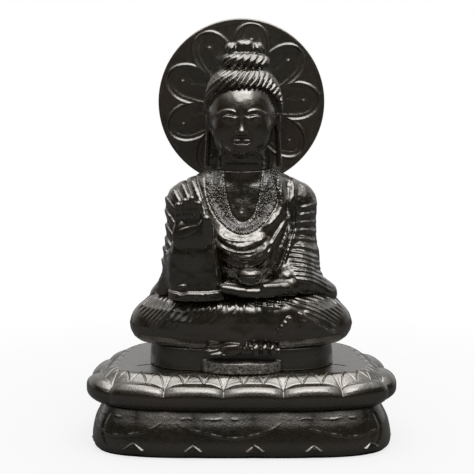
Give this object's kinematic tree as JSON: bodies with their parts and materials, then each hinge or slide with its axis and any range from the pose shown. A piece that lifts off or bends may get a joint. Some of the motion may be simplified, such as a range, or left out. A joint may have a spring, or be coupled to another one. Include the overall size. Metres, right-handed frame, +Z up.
{
  "type": "seated buddha statue",
  "caption": "Seated robed figure with one hand raised and a bowl in its lap, before a lift-off lotus halo, on a double lotus pedestal.",
  "frame": {"origin": "on the standing surface, below the middle of the pedestal", "axes": "+Z up; the figure faces -Y; +X is to the right of a viewer who faces it, so the raised hand is at -X"},
  "size_m": [0.3295, 0.203, 0.4449],
  "materials": {
    "cast_dark": "waxed gloss over a carved surface",
    "steel": "plain",
    "brass": "turned",
    "board": "stained",
    "felt": "matte"
  },
  "bodies": {
    "root": {"lower_lotus": "cast_dark", "upper_lotus": "cast_dark", "seat_cushion": "cast_dark", "crossed_legs": "cast_dark", "torso": "cast_dark", "right_forearm": "cast_dark", "right_hand": "cast_dark", "left_hand": "cast_dark", "alms_bowl": "cast_dark", "head": "cast_dark", "halo_socket": "cast_dark", "tier_dowel_left": "steel", "tier_dowel_right": "steel", "neck_dowel": "steel", "waist_dowel_left": "steel", "waist_dowel_right": "steel", "elbow_dowel": "steel", "right_wrist_dowel": "steel", "left_wrist_dowel": "steel", "bowl_dowel": "steel", "tie_rod": "steel", "tie_nut": "steel", "tie_washer": "steel", "base_screw_1": "steel", "base_screw_2": "steel", "base_screw_3": "steel", "base_screw_4": "steel", "base_screw_5": "steel", "base_screw_6": "steel", "socket_screw_1": "steel", "socket_screw_2": "steel", "socket_screw_3": "steel", "socket_screw_4": "steel", "tie_insert": "brass", "base_board": "board", "felt_pad_1": "felt", "felt_pad_2": "felt", "felt_pad_3": "felt", "felt_pad_4": "felt"},
    "halo": {"halo_disc": "cast_dark", "halo_tongue": "steel", "halo_screw_1": "steel", "halo_screw_2": "steel", "halo_screw_3": "steel"}
  },
  "joints": [
    {"name": "halo_lift", "type": "slide", "parent": "root", "child": "halo", "axis": [0, 0, 1], "range_m": [0, 0.042]}
  ]
}
